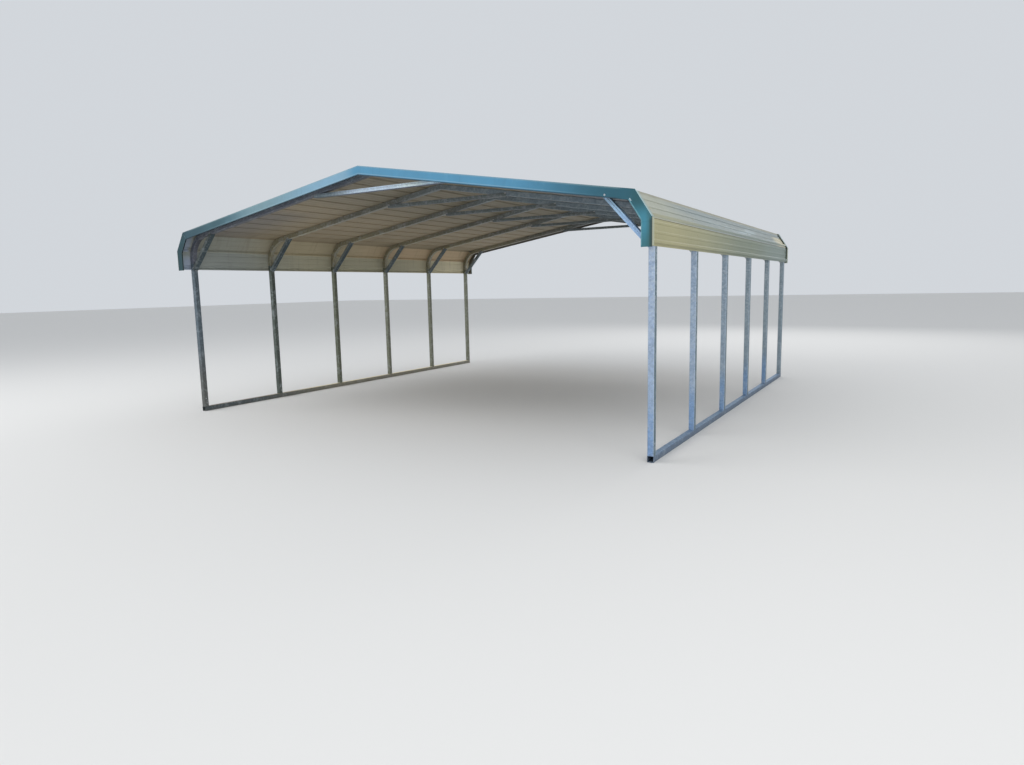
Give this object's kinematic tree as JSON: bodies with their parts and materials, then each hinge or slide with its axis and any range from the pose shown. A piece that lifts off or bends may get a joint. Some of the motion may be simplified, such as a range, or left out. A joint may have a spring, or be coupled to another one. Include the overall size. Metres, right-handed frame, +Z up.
{
  "type": "open carport",
  "caption": "Open steel carport: galvanised tube frames on base rails, ribbed tan roof sheets bent down at the eaves, teal trim at the ends.",
  "frame": {"origin": "middle of the footprint, on the ground under the base rails", "axes": "+X to the right seen from the open front, +Y to the rear along the ridge, +Z up"},
  "size_m": [6.1412, 6.4028, 2.7493],
  "materials": {
    "galvanised_tube": "dull",
    "galvanised_brace": "dull",
    "roof_sheet": "satin",
    "trim": "satin",
    "end_strip": "satin"
  },
  "bodies": {
    "root": {"base_rail_left": "galvanised_tube", "rail_stubs_left": "galvanised_tube", "leg_left_1": "galvanised_tube", "bow_left_1": "galvanised_tube", "leg_left_2": "galvanised_tube", "bow_left_2": "galvanised_tube", "leg_left_3": "galvanised_tube", "bow_left_3": "galvanised_tube", "leg_left_4": "galvanised_tube", "bow_left_4": "galvanised_tube", "leg_left_5": "galvanised_tube", "bow_left_5": "galvanised_tube", "leg_left_6": "galvanised_tube", "bow_left_6": "galvanised_tube", "corner_braces_left": "galvanised_brace", "side_sheet_left": "roof_sheet", "lower_roof_sheet_left": "roof_sheet", "upper_roof_sheet_left": "roof_sheet", "ridge_sheet_left": "roof_sheet", "front_trim_left": "trim", "rear_trim_left": "trim", "end_strips_left": "end_strip", "base_rail_right": "galvanised_tube", "rail_stubs_right": "galvanised_tube", "leg_right_1": "galvanised_tube", "bow_right_1": "galvanised_tube", "leg_right_2": "galvanised_tube", "bow_right_2": "galvanised_tube", "leg_right_3": "galvanised_tube", "bow_right_3": "galvanised_tube", "leg_right_4": "galvanised_tube", "bow_right_4": "galvanised_tube", "leg_right_5": "galvanised_tube", "bow_right_5": "galvanised_tube", "leg_right_6": "galvanised_tube", "bow_right_6": "galvanised_tube", "corner_braces_right": "galvanised_brace", "side_sheet_right": "roof_sheet", "lower_roof_sheet_right": "roof_sheet", "upper_roof_sheet_right": "roof_sheet", "ridge_sheet_right": "roof_sheet", "front_trim_right": "trim", "rear_trim_right": "trim", "end_strips_right": "end_strip", "peak_braces": "galvanised_brace"}
  },
  "joints": []
}
